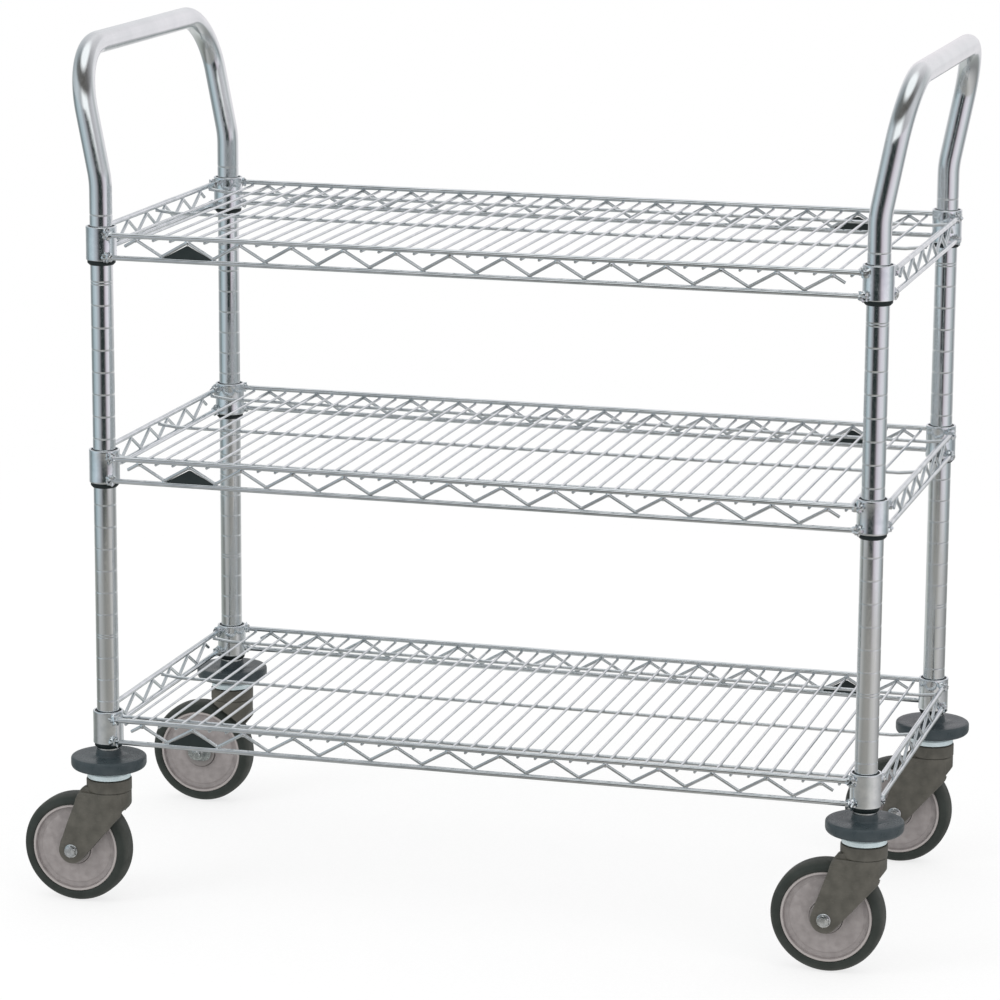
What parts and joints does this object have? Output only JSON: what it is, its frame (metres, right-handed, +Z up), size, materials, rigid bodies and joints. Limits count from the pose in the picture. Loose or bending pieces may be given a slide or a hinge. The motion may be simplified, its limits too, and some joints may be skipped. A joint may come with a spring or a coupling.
{
  "type": "wire shelf cart",
  "caption": "Push cart with three chromed wire shelves between bent-tube end frames that form the handles, on swivel casters with round corner bumpers.",
  "frame": {"origin": "on the floor under the middle of the whole object, with the casters trailing towards -X", "axes": "+X along the cart towards the right handle, +Y across it towards the back, +Z up"},
  "size_m": [1.0248, 0.5096, 0.9963],
  "materials": {
    "chrome_tube": "polished plated tube",
    "chrome_wire": "bright plated wire",
    "chrome_collar": "plated, slightly satin",
    "black_plastic": "satin moulded plastic",
    "zinc_steel": "pale blue zinc plate",
    "bright_zinc": "bright zinc plate",
    "ball_steel": "polished",
    "bumper_rubber": "satin blue-grey rubber",
    "fork_plastic": "fine-grained moulded polymer",
    "core_plastic": "satin moulded polymer",
    "tyre": "smooth resilient tread",
    "bush_plastic": "natural acetal"
  },
  "bodies": {
    "cart_frame": {"left_end_frame": "chrome_tube", "right_end_frame": "chrome_tube", "top_shelf_deck": "chrome_wire", "top_shelf_trusses": "chrome_wire", "top_shelf_collars": "chrome_collar", "top_shelf_sleeves": "black_plastic", "top_shelf_badges": "black_plastic", "middle_shelf_deck": "chrome_wire", "middle_shelf_trusses": "chrome_wire", "middle_shelf_collars": "chrome_collar", "middle_shelf_sleeves": "black_plastic", "middle_shelf_badges": "black_plastic", "bottom_shelf_deck": "chrome_wire", "bottom_shelf_trusses": "chrome_wire", "bottom_shelf_collars": "chrome_collar", "bottom_shelf_sleeves": "black_plastic", "bottom_shelf_badges": "black_plastic", "swivel_balls": "ball_steel", "front_left_stem": "zinc_steel", "front_left_bumper": "bumper_rubber", "front_left_raceway": "zinc_steel", "front_right_stem": "zinc_steel", "front_right_bumper": "bumper_rubber", "front_right_raceway": "zinc_steel", "back_left_stem": "zinc_steel", "back_left_bumper": "bumper_rubber", "back_left_raceway": "zinc_steel", "back_right_stem": "zinc_steel", "back_right_bumper": "bumper_rubber", "back_right_raceway": "zinc_steel"},
    "front_left_swivel": {"front_left_fork": "fork_plastic", "front_left_axle_bolt": "bright_zinc", "front_left_axle_nut": "bright_zinc"},
    "front_left_wheel": {"front_left_wheel_core": "core_plastic", "front_left_tyre": "tyre", "front_left_wheel_bearing": "bush_plastic"},
    "front_right_swivel": {"front_right_fork": "fork_plastic", "front_right_axle_bolt": "bright_zinc", "front_right_axle_nut": "bright_zinc"},
    "front_right_wheel": {"front_right_wheel_core": "core_plastic", "front_right_tyre": "tyre", "front_right_wheel_bearing": "bush_plastic"},
    "back_left_swivel": {"back_left_fork": "fork_plastic", "back_left_axle_bolt": "bright_zinc", "back_left_axle_nut": "bright_zinc"},
    "back_left_wheel": {"back_left_wheel_core": "core_plastic", "back_left_tyre": "tyre", "back_left_wheel_bearing": "bush_plastic"},
    "back_right_swivel": {"back_right_fork": "fork_plastic", "back_right_axle_bolt": "bright_zinc", "back_right_axle_nut": "bright_zinc"},
    "back_right_wheel": {"back_right_wheel_core": "core_plastic", "back_right_tyre": "tyre", "back_right_wheel_bearing": "bush_plastic"}
  },
  "joints": [
    {"name": "front_left_swivel_turn", "type": "hinge", "parent": "cart_frame", "child": "front_left_swivel", "pos_m": [-0.41087, -0.2115, 0.148], "axis": [0, 0, 1], "continuous": true},
    {"name": "front_left_wheel_spin", "type": "hinge", "parent": "front_left_swivel", "child": "front_left_wheel", "pos_m": [-0.44888, -0.2115, 0.0635], "axis": [0, 1, 0], "continuous": true},
    {"name": "front_right_swivel_turn", "type": "hinge", "parent": "cart_frame", "child": "front_right_swivel", "pos_m": [0.46913, -0.2115, 0.148], "axis": [0, 0, 1], "continuous": true},
    {"name": "front_right_wheel_spin", "type": "hinge", "parent": "front_right_swivel", "child": "front_right_wheel", "pos_m": [0.43112, -0.2115, 0.0635], "axis": [0, 1, 0], "continuous": true},
    {"name": "back_left_swivel_turn", "type": "hinge", "parent": "cart_frame", "child": "back_left_swivel", "pos_m": [-0.41087, 0.2115, 0.148], "axis": [0, 0, 1], "continuous": true},
    {"name": "back_left_wheel_spin", "type": "hinge", "parent": "back_left_swivel", "child": "back_left_wheel", "pos_m": [-0.44888, 0.2115, 0.0635], "axis": [0, 1, 0], "continuous": true},
    {"name": "back_right_swivel_turn", "type": "hinge", "parent": "cart_frame", "child": "back_right_swivel", "pos_m": [0.46913, 0.2115, 0.148], "axis": [0, 0, 1], "continuous": true},
    {"name": "back_right_wheel_spin", "type": "hinge", "parent": "back_right_swivel", "child": "back_right_wheel", "pos_m": [0.43112, 0.2115, 0.0635], "axis": [0, 1, 0], "continuous": true}
  ]
}
